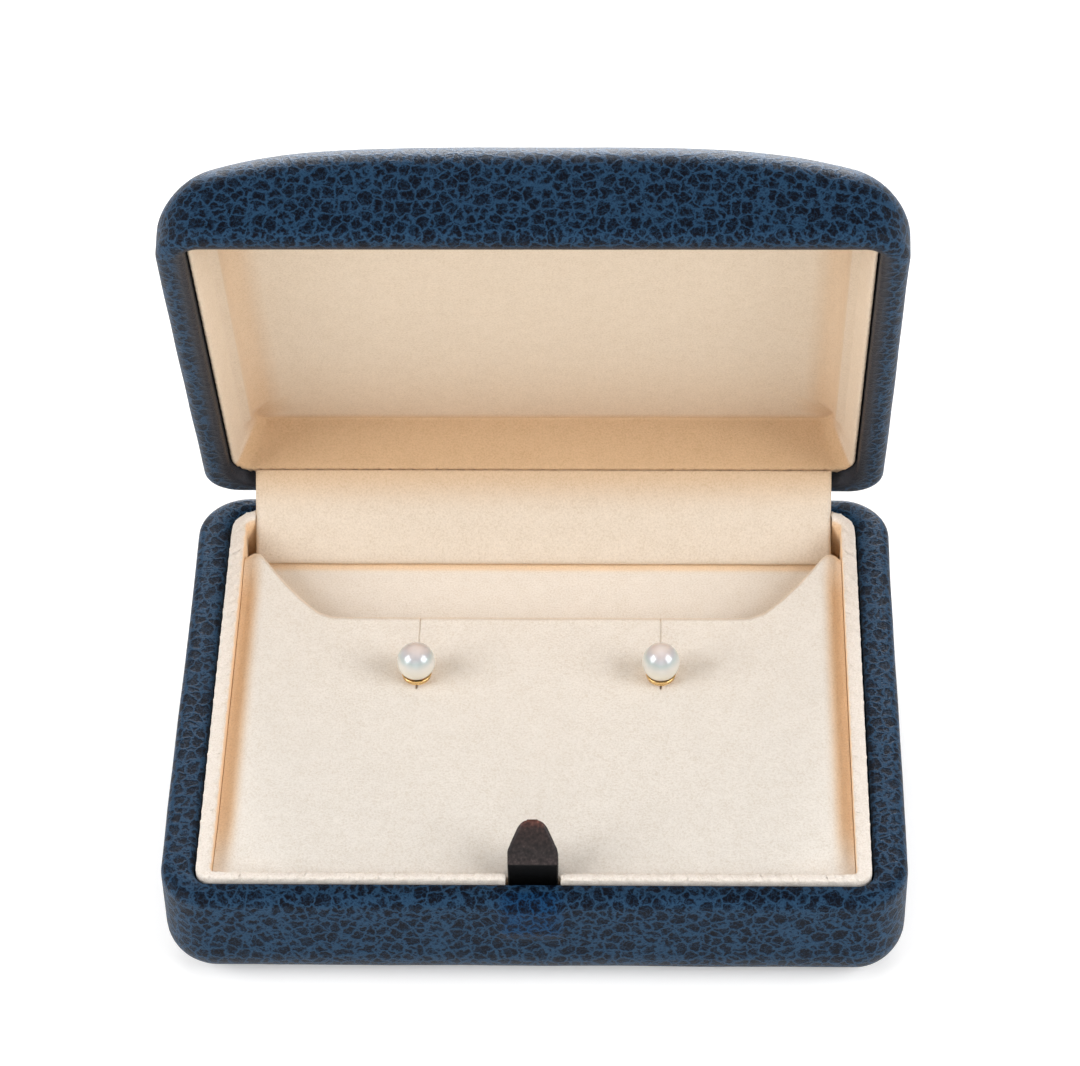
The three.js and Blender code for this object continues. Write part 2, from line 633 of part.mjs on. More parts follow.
// One earring, standing on the pad with its post down through the slit.
function earring(side) {
  const end = side < 0 ? "left" : "right";
  const group = new THREE.Group();
  const jewel = pearl(`pearl_${end}`);
  jewel.position.z = PEARL_Z - PAD_TOP;
  const nut = earNut(`ear_nut_${end}`);
  nut.position.z = -PAD_THICKNESS - CLEARANCE - NUT_HEIGHT;
  group.add(jewel, setting(`setting_${end}`), nut);
  group.position.set((side * EARRING_SPACING) / 2, EARRING_Y, PAD_TOP);
  return group;
}

const lid = new THREE.Group();
lid.add(lidShell(), lidLining());
lid.position.set(0, HINGE_Y, HINGE_Z);
lid.rotation.x = -OPENING;

const box = new THREE.Group();
box.add(baseShell(), collar(-1), collar(1), insertBlock(), pad(), catchTongue(), hingeStrip());
box.add(earring(-1), earring(1), lid);

export default box;
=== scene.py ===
"""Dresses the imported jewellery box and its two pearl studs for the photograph's view.

Every new piece is a surface computed with numpy on a grid of rings, in millimetres in the row
frame, and scaled to metres when its mesh is made. The lid's pieces are computed shut, in the lid's
own frame, with the hinge axis as origin, and then turned open.
"""
import math

import bmesh
import bpy
import numpy as np
from mathutils import Matrix, Vector


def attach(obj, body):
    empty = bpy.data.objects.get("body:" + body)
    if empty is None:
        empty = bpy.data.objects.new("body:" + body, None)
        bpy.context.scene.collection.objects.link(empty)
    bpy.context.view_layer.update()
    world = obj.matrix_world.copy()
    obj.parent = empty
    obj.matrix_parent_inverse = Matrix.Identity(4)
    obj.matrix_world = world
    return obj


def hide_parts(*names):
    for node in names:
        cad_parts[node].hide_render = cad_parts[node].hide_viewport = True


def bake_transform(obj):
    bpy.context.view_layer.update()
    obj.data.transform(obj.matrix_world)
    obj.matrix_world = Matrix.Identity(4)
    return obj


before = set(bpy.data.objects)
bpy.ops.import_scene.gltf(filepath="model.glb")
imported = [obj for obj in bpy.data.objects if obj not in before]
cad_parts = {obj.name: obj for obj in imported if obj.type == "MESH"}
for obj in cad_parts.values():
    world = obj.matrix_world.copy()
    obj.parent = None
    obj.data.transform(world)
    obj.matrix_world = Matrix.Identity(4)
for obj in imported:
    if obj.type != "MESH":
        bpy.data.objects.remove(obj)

bl_info = {
    "name": "Pearl studs in a hinged box",
    "version": (1, 0, 0),
    "blender": (4, 5, 0),
    "location": "3D View > Sidebar > Jewellery box",
    "description": "Builds the leather, suede, pearls and stage around the packed model",
    "category": "Object",
}

MM = 0.001
HALF_X = 50.0
HALF_Y = 39.0
BASE_H = 17.3
INNER_X = 45.4
INNER_Y = 35.8
HINGE = (0.0, 39.0, 17.58)
OPENING = math.radians(68.5)
PAD_TOP = 16.7
LEDGE_TOP = 11.3
STUD_X = 17.05
COLLAR_X = 45.1
COLLAR_Y = 35.5
COLLAR_END = 41.85
CATCH_GAP = 3.7
CATCH_HALF = 3.35
CATCH_Y = -35.05
TRAY_X = 43.02
TRAY_FRONT = -34.0
STRIP_X = 41.65
STUD_Y = 2.75
PEARL_Z = 19.92
BUTTON_X = -0.25
BUTTON_HALF = 4.9
BUTTON_FOOT = 9.2
CAVITY_FLOOR = 2.0
LINING_X = 45.05
LINING_SET = 3.5
COOL_LIGHT = (0.93, 0.975, 1.05)


def sized(name, description, default):
    """A length property of a property group, shown in the scene's unit."""
    return bpy.props.FloatProperty(name=name, description=description, default=default, min=0.0,
                                   unit="LENGTH", subtype="DISTANCE", precision=5)


def coloured(name, description, default):
    """A colour property of a property group."""
    return bpy.props.FloatVectorProperty(name=name, description=description, default=default, min=0.0,
                                         max=1.0, size=3, subtype="COLOR")


class BoxLeather(bpy.types.PropertyGroup):
    """The leatherette shells."""

    foot: sized("Foot radius", "Rounding along the foot of the base", 0.0066)
    rim: sized("Rim radius", "Rounding along the rims of base and lid", 0.0015)
    button: sized("Button height", "How far the push button lifts the leather", 0.0008)
    wobble: sized("Wobble", "Unevenness of the leather over its shell", 0.00007)
    spot: sized("Grain size", "Width of a spot of the grain", 0.0017)
    vein: coloured("Vein colour", "Blue of the grain's net", (0.0175, 0.053, 0.103))
    ground: coloured("Spot colour", "Near black of the grain's spots", (0.0005, 0.001, 0.004))
    edge: coloured("Edge colour", "Grey of the turned-in edges", (0.031, 0.031, 0.0355))


class BoxSuede(bpy.types.PropertyGroup):
    """The suede pieces."""

    pad_roll: sized("Pad roll", "Width of the pad's rolled side edges", 0.0037)
    pad_drop: sized("Pad drop", "How far the rolled edges fall", 0.0015)
    nap: sized("Nap", "Height of the brushed nap along edges", 0.00016)
    strip: sized("Strip thickness", "Thickness of the hinge strip", 0.0008)
    lining_colour: coloured("Lining colour", "Suede of the lid's lining", (0.73, 0.60, 0.455))
    strip_colour: coloured("Strip colour", "Suede of the hinge strip", (0.76, 0.645, 0.51))
    collar_colour: coloured("Collar colour", "Suede of the collar", (0.88, 0.775, 0.66))
    pad_colour: coloured("Pad colour", "Suede of the pad and the ledge", (0.845, 0.765, 0.66))


class Studs(bpy.types.PropertyGroup):
    """The pearls and their gold."""

    pearl: sized("Pearl radius", "Radius of a pearl", 0.00275)
    cup: sized("Cup radius", "Radius of the gold cup", 0.002)
    nacre: coloured("Nacre tint", "Tint over the pearls", (1.0, 1.0, 1.0))
    gold: coloured("Gold colour", "Colour of the cups, posts and ear nuts", (0.91, 0.62, 0.27))
    catch: coloured("Catch colour", "Brown of the catch", (0.018, 0.013, 0.012))


def smooth(t):
    """A ramp from 0 to 1 with level ends."""
    t = np.clip(t, 0.0, 1.0)
    return t * t * (3.0 - 2.0 * t)


def wave(p, scale, seed=0.0):
    """Slow unevenness between -1 and 1: a sum of sines of place over scale, along turned directions."""
    x, y, z = np.moveaxis(p / scale, -1, 0)
    broad = np.sin(x * 1.7 + y * 0.9 + seed) * np.cos(z * 1.3 - x * 0.6 + 2 * seed)
    middle = np.sin(y * 2.3 - z * 1.1 + 3 * seed) * np.cos(x * 2.9 + y + seed)
    small = np.sin((x + z) * 4.1 + seed) * np.sin((y - x) * 3.7 - seed)
    return 0.5 * broad + 0.3 * middle + 0.2 * small


def plan(half_x, front, back, front_r, back_r, inset=0.0, corner=14, side=(88, 68)):
    """A rounded rectangle of points, anticlockwise from its front left corner: four arcs, whose radius is
    the corner's less the inset, joined by straight runs of evenly spaced points."""
    arcs = []
    for sx, y, sy, radius, start in ((-1, front, 1, front_r, 1.0), (1, front, 1, front_r, 1.5),
                                     (1, back, -1, back_r, 0.0), (-1, back, -1, back_r, 0.5)):
        r = max(radius - inset, 0.35)
        angle = (start + np.linspace(0.0, 0.5, corner + 1)) * math.pi
        cx = sx * (half_x - inset - r)
        cy = y + sy * (inset + r)
        arcs.append(np.stack([cx + r * np.cos(angle), cy + r * np.sin(angle)], 1))
    rows = []
    for i, arc in enumerate(arcs):
        following = arcs[(i + 1) % 4][0]
        t = np.linspace(0.0, 1.0, side[i % 2] + 2)[1:-1, None]
        rows += [arc, arc[-1] * (1.0 - t) + following * t]
    return np.concatenate(rows)


def ring(points, z):
    """Points in plan lifted to a height, which may differ from point to point."""
    return np.column_stack([points, np.broadcast_to(z, len(points))])


def inwards(last, centre, shares):
    """Rings that shrink from the last ring towards a centre, by shares of its size."""
    return [centre + (last - centre) * s for s in shares]


def tube_faces(rings, count):
    """Quads between rings of equally many points, as an index grid."""
    i = np.arange(rings - 1)[:, None] * count
    j = np.arange(count)[None, :]
    k = (j + 1) % count
    quads = np.stack([i + j, i + k, i + count + k, i + count + j], -1).reshape(-1, 4)
    return quads


def mesh_object(name, verts, faces, material, warm=None, smooth_shade=True):
    """A mesh object at the origin from arrays in millimetres, with a mark per point kept as the point
    attribute warm, which on the suede pieces carries painted shade.
    """
    mesh = bpy.data.meshes.new(name)
    mesh.from_pydata((np.asarray(verts) * MM).tolist(), [], [list(f) for f in faces])
    if warm is not None:
        layer = mesh.attributes.new("warm", "FLOAT", "POINT")
        layer.data.foreach_set("value", np.asarray(warm, np.float32).ravel())
    mesh.polygons.foreach_set("use_smooth", np.full(len(mesh.polygons), smooth_shade))
    mesh.materials.append(material)
    obj = bpy.data.objects.new(name, mesh)
    bpy.context.scene.collection.objects.link(obj)
    return obj


def loft(name, rings, material, warm=None):
    """One closed skin through rings of equally many points, whose first and last ring are poles."""
    quads = tube_faces(len(rings), len(rings[0])).tolist()
    obj = mesh_object(name, np.concatenate(rings), quads, material, warm)
    merge(obj)
    return obj


def sweep(name, rings, material, warm=None):
    """A closed skin through rings, whose first and last ring are closed by one many-sided face each."""
    pts = np.asarray(rings)
    rows, count = pts.shape[:2]
    quads = tube_faces(rows, count).tolist()
    caps = [list(range(count))[::-1], list(range((rows - 1) * count, rows * count))]
    obj = mesh_object(name, pts.reshape(-1, 3), quads + caps, material, warm)
    merge(obj)
    return obj


def merge(obj, distance=0.004):
    """Welds points closer than distance, in millimetres, which closes the poles of a skin."""
    bm = bmesh.new()
    bm.from_mesh(obj.data)
    bmesh.ops.remove_doubles(bm, verts=bm.verts, dist=distance * MM)
    bmesh.ops.dissolve_degenerate(bm, edges=bm.edges, dist=distance * MM / 4)
    bmesh.ops.recalc_face_normals(bm, faces=bm.faces)
    bm.to_mesh(obj.data)
    bm.free()
    obj.data.polygons.foreach_set("use_smooth", np.ones(len(obj.data.polygons), bool))


def open_lid(points):
    """Turns points from the lid's own frame, with the lid shut, to where the lid stands open."""
    p = np.asarray(points, float)
    c, s = math.cos(-OPENING), math.sin(-OPENING)
    y = p[:, 1] * c - p[:, 2] * s
    z = p[:, 1] * s + p[:, 2] * c
    return np.column_stack([p[:, 0] + HINGE[0], y + HINGE[1], z + HINGE[2]])


class Nodes:
    """A short way to write node trees: each call adds a node and links what it is given."""

    def __init__(self, name):
        """Starts an empty material."""
        self.material = bpy.data.materials.new(name)
        self.material.use_nodes = True
        self.tree = self.material.node_tree
        self.tree.nodes.clear()
        self.out = self.tree.nodes.new("ShaderNodeOutputMaterial")

    def put(self, kind, inputs=None, **settings):
        """Adds a node, links each input that is a socket and sets each that is a value."""
        node = self.tree.nodes.new(kind)
        for key, value in settings.items():
            setattr(node, key, value)
        for key, value in (inputs or {}).items():
            socket = node.inputs[key]
            if isinstance(value, bpy.types.NodeSocket):
                self.tree.links.new(value, socket)
            else:
                socket.default_value = value
        return node

    def math(self, operation, a, b):
        """One step of arithmetic on numbers."""
        return self.put("ShaderNodeMath", {0: a, 1: b}, operation=operation).outputs[0]

    def vector(self, operation, a, b):
        """One step of arithmetic on vectors."""
        return self.put("ShaderNodeVectorMath", {0: a, 1: b}, operation=operation).outputs[0]

    def place(self, scale=1.0):
        """Object coordinates in millimetres over scale."""
        where = self.put("ShaderNodeTexCoord").outputs["Object"]
        return self.vector("MULTIPLY", where, (1.0 / (MM * scale),) * 3)

    def noise(self, where, scale, detail, roughness=0.5, output="Fac"):
        """Cloudy noise over a place."""
        return self.put("ShaderNodeTexNoise", {"Vector": where, "Scale": scale, "Detail": detail,
                                               "Roughness": roughness}).outputs[output]

    def edges(self, where, scale):
        """The distance from the nearest edge between cells."""
        return self.put("ShaderNodeTexVoronoi", {"Vector": where, "Scale": scale},
                        feature="DISTANCE_TO_EDGE").outputs["Distance"]

    def warm(self):
        """The mark that the mesh carries from point to point."""
        return self.put("ShaderNodeAttribute", attribute_name="warm").outputs["Fac"]

    def ramp(self, factor, stops):
        """A colour ramp, whose stops may give one number for a grey."""
        node = self.put("ShaderNodeValToRGB", {"Fac": factor})
        elements = node.color_ramp.elements
        while len(elements) < len(stops):
            elements.new(0.5)
        for element, (place, colour) in zip(elements, stops):
            element.position = place
            grey = isinstance(colour, float)
            element.color = (colour, colour, colour, 1.0) if grey else (*colour, 1.0)
        return node.outputs["Color"]

    def mix(self, factor, a, b, blend="MIX"):
        """Two colours mixed by a factor."""
        node = self.put("ShaderNodeMix", data_type="RGBA", blend_type=blend)
        for key, value in ((0, factor), (6, a), (7, b)):
            if isinstance(value, bpy.types.NodeSocket):
                self.tree.links.new(value, node.inputs[key])
            else:
                node.inputs[key].default_value = value if key == 0 else (*value, 1.0)
        return node.outputs[2]

    def finish(self, **inputs):
        """Ends the tree in a principled shader, whose inputs are given with underscores for spaces."""
        named = {key.replace("_", " "): value for key, value in inputs.items()}
        shader = self.put("ShaderNodeBsdfPrincipled", named)
        self.tree.links.new(shader.outputs[0], self.out.inputs["Surface"])
        return self.material


def blend_colour(a, b, share):
    """A colour at a share of the way from one to another."""
    return tuple(p * (1.0 - share) + q * share for p, q in zip(a, b))


def times(colour, factors):
    """A colour multiplied channel by channel, kept below white."""
    return tuple(min(c * f, 0.96) for c, f in zip(colour, factors))


def leather_material(name, props):
    """Navy leatherette: a soft net of blue veins round near black spots, which blue specks break up, with
    a fine pebble. The turned-in edges, marked by the warm attribute, are a smooth grey, and the button,
    marked below zero, is a fresher blue."""
    n = Nodes(name)
    spot = props.spot / MM
    place = n.place()
    shift = n.vector("SUBTRACT", n.noise(place, 1.35, 4.0, output="Color"), (0.5, 0.5, 0.5))
    bent = n.vector("ADD", place, n.vector("MULTIPLY", shift, (1.35, 1.35, 1.35)))
    cells, small = n.edges(bent, 1.0 / spot), n.edges(bent, 2.1 / spot)
    fine, patch = n.noise(place, 3.8, 6.0, 0.75), n.noise(place, 0.3, 2.0)
    body = n.ramp(cells, [(0.02, 0.0), (0.15, 1.0)])
    lesser = n.ramp(small, [(0.0, 0.0), (0.14, 1.0)])
    dark = n.math("MULTIPLY", body, n.math("ADD", n.math("MULTIPLY", lesser, 0.6), 0.4))
    speck = n.math("MULTIPLY", n.math("SUBTRACT", fine, 0.5), 1.9)
    drift = n.math("MULTIPLY", n.math("SUBTRACT", patch, 0.5), 0.3)
    loose = n.math("SUBTRACT", dark, n.math("ADD", speck, drift))
    field = n.math("ADD", n.math("MULTIPLY", loose, 0.7), 0.14)
    vein, ground = tuple(props.vein), tuple(props.ground)
    colour = n.ramp(field, [(0.0, vein), (0.36, blend_colour(vein, ground, 0.42)),
                            (0.60, blend_colour(vein, ground, 0.82)), (0.90, ground)])
    line = n.ramp(cells, [(0.0, 0.42), (0.06, 0.0)])
    colour = n.mix(line, colour, times(vein, (1.2, 1.18, 1.13)))
    mark = n.warm()
    turned = n.math("MAXIMUM", mark, 0.0)
    pressed = n.math("MAXIMUM", n.math("MULTIPLY", mark, -1.0), 0.0)
    colour = n.mix(pressed, colour, n.mix(1.0, colour, (0.36, 0.84, 1.1), "MULTIPLY"))
    grain = n.ramp(fine, [(0.3, times(props.edge, (0.65,) * 3)), (0.7, times(props.edge, (1.35,) * 3))])
    skin = n.mix(turned, colour, grain)
    veins = n.math("MULTIPLY", n.ramp(cells, [(0.0, 1.0), (0.2, 0.0)]), 0.5)
    height = n.math("ADD", veins, n.math("MULTIPLY", fine, 0.9))
    bump = n.put("ShaderNodeBump", {"Strength": 0.5, "Distance": 0.00016, "Height": height}).outputs[0]
    rough = n.math("ADD", 0.32, n.math("MULTIPLY", fine, 0.2))
    return n.finish(Base_Color=skin, Roughness=rough, Normal=bump, Specular_IOR_Level=0.10)


def suede_material(name, tint, painted_shade_colour=(0.87, 0.68, 0.48)):
    """Cream suede: a short nap of fine grains, multiplied by the painted shade colour where the warm
    attribute marks painted shade in folds, valleys and recesses."""
    n = Nodes(name)
    place = n.place()
    nap, mottle = n.noise(place, 3.8, 6.0, 0.75), n.noise(place, 0.5, 3.0)
    mix = n.math("ADD", n.math("MULTIPLY", nap, 0.88), n.math("MULTIPLY", mottle, 0.12))
    deep, light = times(tint, (0.89, 0.85, 0.79)), times(tint, (1.08,) * 3)
    plain = n.ramp(mix, [(0.38, deep), (0.5, tuple(tint)), (0.62, light)])
    # Painted shade: where the warm attribute marks it, the nap's colour is multiplied by the painted
    # shade colour.
    colour = n.mix(n.warm(), plain, n.mix(1.0, plain, painted_shade_colour, "MULTIPLY"))
    bump = n.put("ShaderNodeBump", {"Strength": 0.5, "Distance": 0.00032, "Height": nap}).outputs[0]
    return n.finish(Base_Color=colour, Roughness=0.95, Normal=bump, Specular_IOR_Level=0.12,
                    Sheen_Weight=0.25, Sheen_Roughness=0.55, Sheen_Tint=(1.0, 0.93, 0.84, 1.0))


def pearl_material(name, props):
    """Nacre: a milky body under a clear lustre, pinkish above, with a band of painted green grey shade
    a little above its middle.
    """
    n = Nodes(name)
    radius = props.pearl
    where = n.put("ShaderNodeTexCoord").outputs["Object"]
    z = n.put("ShaderNodeSeparateXYZ", {0: where}).outputs[2]
    level = n.math("DIVIDE", n.math("SUBTRACT", z, PEARL_Z * MM - radius), 2 * radius)
    cloud = n.math("SUBTRACT", n.noise(n.place(), 0.5, 2.0), 0.5)
    wavy = n.math("ADD", level, n.math("MULTIPLY", cloud, 0.12))
    # Painted shade: the green grey stops at 0.77 and 0.87 lie where the pearl faces the camera.
    overtone_and_shade = n.ramp(wavy, [(0.0, (0.66, 0.58, 0.44)), (0.40, (0.72, 0.67, 0.55)),
                          (0.62, (0.66, 0.62, 0.55)), (0.77, (0.42, 0.47, 0.43)),
                          (0.87, (0.50, 0.47, 0.46)), (0.96, (0.68, 0.58, 0.53)),
                          (1.0, (0.74, 0.64, 0.58))])
    colour = n.mix(1.0, overtone_and_shade, tuple(props.nacre), "MULTIPLY")
    return n.finish(Base_Color=colour, Roughness=0.3, IOR=1.9, Subsurface_Weight=0.25,
                    Subsurface_Scale=0.0006, Subsurface_Radius=(1.0, 0.8, 0.6), Coat_Weight=1.0,
                    Coat_Roughness=0.14, Sheen_Weight=0.1)


def gold_material(name, gold):
    """Polished yellow gold with a faint turned grain."""
    n = Nodes(name)
    grain = n.noise(n.place(0.4), 1.4, 4.0)
    rough = n.math("ADD", 0.16, n.math("MULTIPLY", grain, 0.14))
    colour = n.ramp(grain, [(0.3, times(gold, (0.945, 0.90, 0.82))),
                            (0.7, times(gold, (1.045, 1.10, 1.18)))])
    return n.finish(Base_Color=colour, Metallic=1.0, Roughness=rough)


def catch_material(name, brown):
    """Dark brown moulded plastic with a worn satin: painted shade makes it near black under its ridge, a
    painted highlight lightens the ridge itself, and it turns lighter and reddish at the tip.
    """
    n = Nodes(name)
    fine = n.noise(n.place(), 2.2, 5.0)
    # Painted shade: the upright faces below the ridge are near black; a painted highlight lightens the
    # ridge.
    tone = n.ramp(n.warm(), [(0.0, times(brown, (0.07, 0.08, 0.08))),
                             (0.02, times(brown, (1.9, 1.85, 1.85))),
                             (0.08, times(brown, (1.3, 1.25, 1.25))), (0.3, tuple(brown)),
                             (0.85, times(brown, (1.2, 0.9, 0.8))),
                             (1.0, times(brown, (4.2, 2.1, 1.6)))])
    speckle = n.ramp(fine, [(0.35, 0.55), (0.6, 1.5), (0.7, 2.6)])
    colour = n.mix(1.0, tone, speckle, "MULTIPLY")
    rough = n.math("ADD", 0.32, n.math("MULTIPLY", fine, 0.2))
    bump = n.put("ShaderNodeBump", {"Strength": 0.2, "Distance": 0.00005, "Height": fine}).outputs[0]
    return n.finish(Base_Color=colour, Roughness=rough, Normal=bump, Specular_IOR_Level=0.25)


def floor_material(name):
    """Pale seamless paper."""
    n = Nodes(name)
    tone = n.noise(n.place(40.0), 1.0, 2.0)
    colour = n.ramp(tone, [(0.3, (0.93, 0.885, 0.825)), (0.7, (0.95, 0.905, 0.845))])
    return n.finish(Base_Color=colour, Roughness=0.9, Specular_IOR_Level=0.1,
                    Emission_Color=(1.0, 1.0, 1.0, 1.0), Emission_Strength=0.24)


def base_skin(props):
    """The base's leather as one skin: from the middle of the underside out to the foot, up the foot's
    quarter round, up the wall, over the rim's quarter round, across the rim with a slight bulge, down
    inside and across the floor. The front wall moves out over the push button by its height times
    level-ended ramps across and down. The second array marks the button below zero."""
    foot, edge = props.foot / MM, props.rim / MM
    outer = dict(half_x=HALF_X, front=-HALF_Y, back=HALF_Y, front_r=7.0, back_r=7.2)
    inner = dict(half_x=INNER_X, front=-INNER_Y, back=INNER_Y, front_r=2.2, back_r=4.6)
    quarter = np.linspace(0.0, 0.5 * math.pi, 13)
    rings = [ring(plan(inset=foot, **outer), 0.0)]
    rings = inwards(rings[0], np.zeros(3), (0.0, 0.25, 0.5, 0.75)) + rings
    rings += [ring(plan(inset=foot * (1 - math.sin(a)), **outer), foot * (1 - math.cos(a)))
              for a in quarter[1:]]
    rings += [ring(plan(**outer), z) for z in np.linspace(foot + 0.5, BASE_H - edge, 20)]
    rings += [ring(plan(inset=edge * (1 - math.cos(a)), **outer), BASE_H - edge * (1 - math.sin(a)))
              for a in quarter[1:]]
    outside = len(rings)
    top, low = rings[-1], ring(plan(**inner), BASE_H)
    for s in (0.25, 0.5, 0.75):
        middle = top * (1 - s) + low * s
        middle[:, 2] += 0.07 * math.sin(math.pi * s)
        rings.append(middle)
    rings += [ring(plan(inset=-0.25, **inner), BASE_H), ring(plan(**inner), BASE_H - 0.3)]
    rings += [ring(plan(**inner), z) for z in (12.0, 6.0, CAVITY_FLOOR)]
    rings += inwards(rings[-1], np.array([0.0, 0.0, CAVITY_FLOOR]), (0.66, 0.33, 0.0))
    pts = np.stack(rings)
    skin = pts[:outside]
    x, y, z = skin[..., 0], skin[..., 1], skin[..., 2]
    front = smooth((-y - (HALF_Y - 3.0)) / 2.0)
    aside = np.abs(x - BUTTON_X)
    across = smooth((BUTTON_HALF - aside) / 1.5)
    down = smooth((z - BUTTON_FOOT) / 2.6)
    rim = smooth((BASE_H + 0.4 - z) / 1.6)
    lift = props.button / MM * front * across * down * rim
    uneven = wave(skin, 9.0, 0.4)[..., None] * props.wobble / MM * 1.5
    outward = skin * np.array([1 / HALF_X, 1 / HALF_Y, 0.0])
    pts[:outside] = skin + uneven * outward
    pts[:outside, :, 1] -= lift
    mark = np.zeros(pts.shape[:2])
    wide, tall = smooth((BUTTON_HALF + 0.4 - aside) / 2.6), smooth((z - BUTTON_FOOT + 0.3) / 3.4)
    mark[:outside] = -front * wide * tall
    return list(pts), mark


def lid_height(x, half_x):
    """The height of the lid's top over its rim, lower towards both sides by a power of the distance."""
    return 15.6 - 6.2 * np.abs(x / half_x) ** 3.9


def lid_skin(props):
    """The lid's leather, in the lid's frame: from the cavity's ceiling out and down its splayed walls to
    the rim, round the rim, up the wall, over the top edge's quarter round and up the crowned top. The
    second array marks the leather that is turned in over the rim."""
    edge, top_r, half_x, depth = props.rim / MM, 5.0, 49.3, 2 * HALF_Y
    outer = dict(half_x=half_x, front=-depth, back=0.0, front_r=7.5, back_r=5.0)
    cavity = dict(half_x=45.35, front=-(depth - 3.2), back=-3.2, front_r=2.2, back_r=4.6)
    tight = dict(cavity, half_x=43.35)
    quarter = np.linspace(0.0, 0.5 * math.pi, 13)
    middle, height = np.array([0.0, -HALF_Y, 0.0]), 10.7
    ceiling = ring(plan(**tight), height)
    rings = inwards(ceiling, middle + (0.0, 0.0, height), (0.0, 0.33, 0.66)) + [ceiling]
    first_wall = len(rings)
    rings += [ring(plan(**cavity), z) for z in (6.0, 3.0, 0.35)]
    low, top = ring(plan(inset=-0.25, **cavity), 0.0), ring(plan(inset=edge, **outer), 0.0)
    for s in (0.0, 0.25, 0.5, 0.75):
        lip = low * (1 - s) + top * s
        lip[:, 2] -= 0.05 * math.sin(math.pi * s)
        rings.append(lip)
    inside = len(rings)
    for a in quarter[::-1]:
        rings.append(ring(plan(inset=edge * (1 - math.cos(a)), **outer), edge * (1 - math.sin(a))))
    for share in np.linspace(0.0, 1.0, 7)[1:-1]:
        p = plan(**outer)
        rings.append(ring(p, edge + share * (lid_height(p[:, 0], half_x) - top_r - edge)))
    for a in quarter:
        p = plan(inset=top_r * (1 - math.cos(a)), **outer)
        rings.append(ring(p, lid_height(p[:, 0], half_x) - top_r * (1 - math.sin(a))))
    last = rings[-1]
    for s in np.linspace(1.0, 0.0, 32)[1:]:
        p = middle + (last - middle) * s
        p[:, 2] = lid_height(p[:, 0], half_x) + 0.6 * (1 - s ** 2)
        rings.append(p)
    pts = np.stack(rings)
    skin = pts[inside:]
    shifted = skin - np.array([0.0, -HALF_Y, 4.0])
    outward = shifted * np.array([1 / HALF_X, 1 / HALF_Y, 1 / 30.0])
    pts[inside:] = skin + wave(skin, 10.0, 1.3)[..., None] * props.wobble / MM * 1.5 * outward
    turned = np.zeros(pts.shape[:2])
    turned[first_wall:inside - 2] = 1.0
    turned[inside - 2] = 0.45
    return [open_lid(r) for r in pts], turned


def lining_skin(props):
    """The lid's suede tray as one skin: across its ceiling, round the cove, which is wide except along
    the hinge, down the splayed walls, over its napped edge and back up outside. The front wall is
    hollowed where the catch comes in. The second array marks painted warm shade on the hinge wall, in
    the coves and towards the hinge."""
    front, edge, ceiling, outer_top = 2 * HALF_Y - LINING_SET, 1.8, 9.6, 10.3
    steps = dict(side=(240, 190))

    def wall(share, inset=0.0):
        """The inner wall's plan at a share of the way from its edge to the ceiling."""
        return plan(LINING_X - 0.45 - 2.4 * share, -(front - 0.8 - 0.6 * share), -(4.9 + 0.6 * share),
                    2.4, 2.4, inset, **steps)

    def cove(share):
        """The cove between ceiling and walls, tight along the hinge and wide elsewhere."""
        a = 0.5 * math.pi * share
        tight, wide = [ring(wall(1.0, r * (1 - math.sin(a))), ceiling - r * (1 - math.cos(a)))
                       for r in (0.35, 3.2)]
        near = smooth((tight[:, 1:2] + 12.0) / 5.0)
        return tight * near + wide * (1.0 - near)

    first = cove(0.0)
    rings = inwards(first, np.array([0.0, -HALF_Y, ceiling]), np.linspace(0.0, 0.96, 12)) + [first]
    rings += [cove(share) for share in np.linspace(0.0, 1.0, 9)[1:]]
    rings += [ring(wall(share), edge + share * (ceiling - edge)) for share in np.linspace(0.56, 0.06, 7)]
    rings += [ring(wall(0.0, -0.05), edge + 0.15), ring(wall(0.0, -0.2), edge)]
    inside = len(rings)
    outer = dict(half_x=LINING_X, front=-front, back=-LINING_SET, front_r=1.9, back_r=4.3, **steps)
    splayed = dict(outer, half_x=43.1)
    rings += [ring(plan(**outer), edge + 0.05), ring(plan(**outer), 5.7)]
    rings += [ring(plan(**splayed), outer_top)]
    rings += inwards(rings[-1], np.array([0.0, -HALF_Y, outer_top]), (0.5, 0.0))
    pts = np.stack(rings)
    slot = smooth((4.7 - np.abs(pts[..., 0])) / 0.5) * smooth((8.9 - pts[..., 2]) / 0.5)
    slot *= smooth((-pts[..., 1] - HALF_Y) / 1.0)
    slot[inside:] = 0.0
    pts[..., 1] += slot * (-(front - 0.15) - pts[..., 1])
    low = smooth((2.6 - pts[..., 2]) / 0.8)
    pts[..., 2] += props.nap / MM * 1.5 * low * wave(pts, 0.3, 0.7)
    flat = smooth((pts[..., 2] - 9.0) / 0.5)
    pts[..., 2] += 0.12 * flat * wave(pts, 22.0, 2.1)
    hinge_wall = smooth((pts[..., 1] + 6.6) / 0.6)
    side_wall = smooth((np.abs(pts[..., 0]) - 41.9) / 0.6) * (1.0 - hinge_wall)
    near = smooth((pts[..., 1] + 30.0) / 28.0)
    hollow = smooth((np.abs(pts[..., 0]) - 37.5) / 3.0) * smooth((pts[..., 2] - 5.5) / 2.5)
    away = 1.0 - hinge_wall
    # Painted shade: warm on the hinge wall, in the coves by the ceiling, towards the hinge and faintly on
    # the side walls.
    warm = 0.9 * hinge_wall + 0.1 * side_wall + (0.55 * hollow + 0.3 * near * (1.0 - side_wall)) * away
    return [open_lid(r) for r in pts], warm


